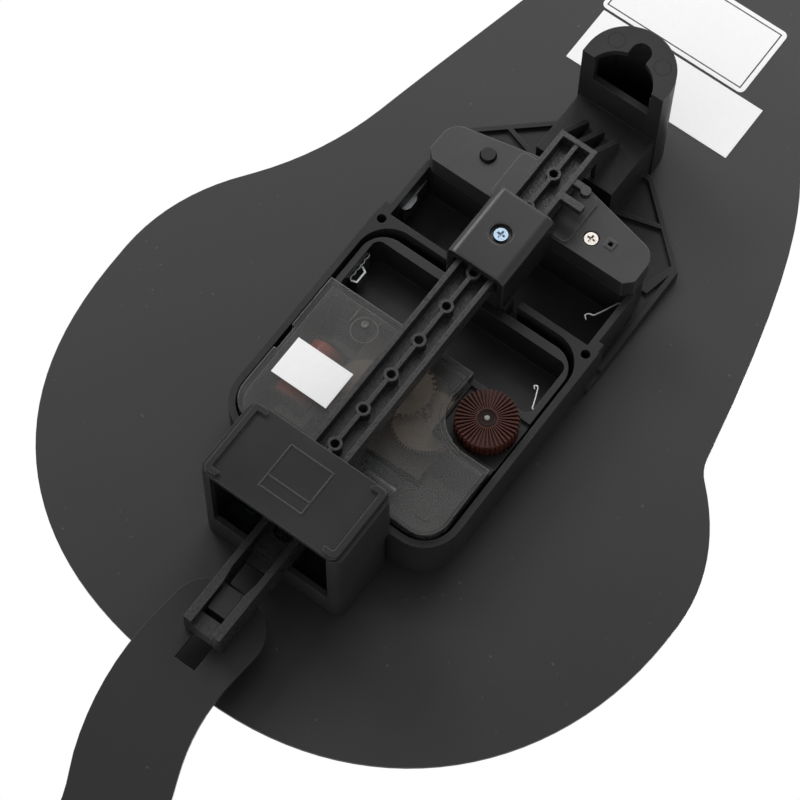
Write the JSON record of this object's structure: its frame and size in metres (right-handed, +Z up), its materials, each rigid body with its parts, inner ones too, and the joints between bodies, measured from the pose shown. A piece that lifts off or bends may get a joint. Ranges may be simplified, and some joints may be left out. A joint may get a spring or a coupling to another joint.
{
  "type": "pendulum wall clock",
  "caption": "Quartz wall clock: an animal-shaped sheet plate with a rear hanger housing, clock movement and a swinging tail-shaped pendulum.",
  "frame": {"origin": "top of the keyhole's notch, on the wall plane, where the hanging screw bears", "axes": "+Z up, +Y out of the back into the wall, +X to the reader's left seen from behind"},
  "size_m": [0.1522, 0.0457, 0.3919],
  "materials": {
    "plate_coat": "satin powder coat",
    "black_moulding": "fine grained",
    "smooth_moulding": "satin",
    "smoke_clear": "clear tinted",
    "knob_brown": "satin",
    "white_print": "satin",
    "label_paper": "matt",
    "natural_plastic": "satin",
    "wheel_plastic": "satin",
    "board": "gloss",
    "bright_steel": "bright",
    "zinc_steel": "blue zinc plate",
    "can_steel": "bright",
    "magnet": "nickel plate",
    "winding": "enamelled copper",
    "brass": "turned",
    "hand_metal": "white paint"
  },
  "bodies": {
    "clock": {"face_plate": "plate_coat", "hour_markers": "white_print", "housing_frame": "black_moulding", "bay_cover": "black_moulding", "bay_cover_screw": "bright_steel", "bay_contact_plate": "bright_steel", "bay_contact_spring": "bright_steel", "slide_rail": "black_moulding", "rail_clamp": "smooth_moulding", "clamp_screw": "zinc_steel", "drive_box": "black_moulding", "drive_box_cap": "smooth_moulding", "drive_bobbin": "natural_plastic", "drive_winding": "winding", "drive_circuit_board": "board", "pivot_pin": "bright_steel", "movement_case": "black_moulding", "movement_cover": "smoke_clear", "cell_contact_plate": "bright_steel", "cell_contact_spring": "bright_steel", "middle_plate": "natural_plastic", "clock_circuit_board": "board", "quartz_crystal": "can_steel", "clock_bobbin": "natural_plastic", "clock_winding": "winding", "stator": "bright_steel", "shaft_bush": "brass", "bush_washer": "brass", "bush_nut": "brass", "upper_label": "label_paper", "lower_label": "label_paper", "lot_label": "label_paper"},
    "pendulum": {"pendulum_arm": "black_moulding", "pendulum_magnet": "magnet", "tail_plate": "plate_coat"},
    "minute": {"minute_arbor": "bright_steel", "minute_hand": "hand_metal", "hand_nut": "bright_steel"},
    "hour": {"hour_wheel": "wheel_plastic", "hour_hand": "hand_metal"},
    "motion": {"motion_wheel": "wheel_plastic"},
    "knob": {"setting_knob": "knob_brown"},
    "centre": {"centre_wheel": "brass"},
    "third": {"third_wheel": "wheel_plastic"},
    "fourth": {"fourth_wheel": "wheel_plastic"},
    "fifth": {"fifth_wheel": "wheel_plastic"},
    "rotor": {"rotor": "wheel_plastic"}
  },
  "joints": [
    {"name": "pendulum_swing", "type": "hinge", "parent": "clock", "child": "pendulum", "pos_m": [0, -0.0217, -0.1243], "axis": [0, 1, 0], "range_deg": [-14, 14]},
    {"name": "minute_turn", "type": "hinge", "parent": "clock", "child": "minute", "pos_m": [0, -0.0267, -0.09031], "axis": [0, 1, 0], "continuous": true},
    {"name": "hour_turn", "type": "hinge", "parent": "clock", "child": "hour", "pos_m": [0, -0.0267, -0.09031], "axis": [0, 1, 0], "continuous": true},
    {"name": "motion_turn", "type": "hinge", "parent": "clock", "child": "motion", "pos_m": [-0.0096, -0.0267, -0.09032], "axis": [0, 1, 0], "continuous": true},
    {"name": "knob_turn", "type": "hinge", "parent": "clock", "child": "knob", "pos_m": [-0.02, -0.0267, -0.08741], "axis": [0, 1, 0], "continuous": true},
    {"name": "fourth_turn", "type": "hinge", "parent": "clock", "child": "fourth", "pos_m": [0, -0.0267, -0.09031], "axis": [0, 1, 0], "continuous": true},
    {"name": "fifth_turn", "type": "hinge", "parent": "clock", "child": "fifth", "pos_m": [0.00737, -0.0267, -0.09547], "axis": [0, 1, 0], "continuous": true},
    {"name": "rotor_turn", "type": "hinge", "parent": "clock", "child": "rotor", "pos_m": [0.00908, -0.0267, -0.10184], "axis": [0, 1, 0], "continuous": true},
    {"name": "third_turn", "type": "hinge", "parent": "clock", "child": "third", "pos_m": [-0.00799, -0.0267, -0.09321], "axis": [0, 1, 0], "continuous": true},
    {"name": "centre_turn", "type": "hinge", "parent": "clock", "child": "centre", "pos_m": [0, -0.0267, -0.09031], "axis": [0, 1, 0], "continuous": true}
  ],
  "couplings": [
    {"joint": "hour_turn", "follows": "minute_turn", "ratio": 0.083333},
    {"joint": "motion_turn", "follows": "minute_turn", "ratio": -0.33333},
    {"joint": "knob_turn", "follows": "minute_turn", "ratio": 0.66667},
    {"joint": "fifth_turn", "follows": "rotor_turn", "ratio": -0.1},
    {"joint": "fourth_turn", "follows": "rotor_turn", "ratio": 0.033333},
    {"joint": "third_turn", "follows": "rotor_turn", "ratio": -0.0041667},
    {"joint": "centre_turn", "follows": "rotor_turn", "ratio": 0.00055556}
  ]
}
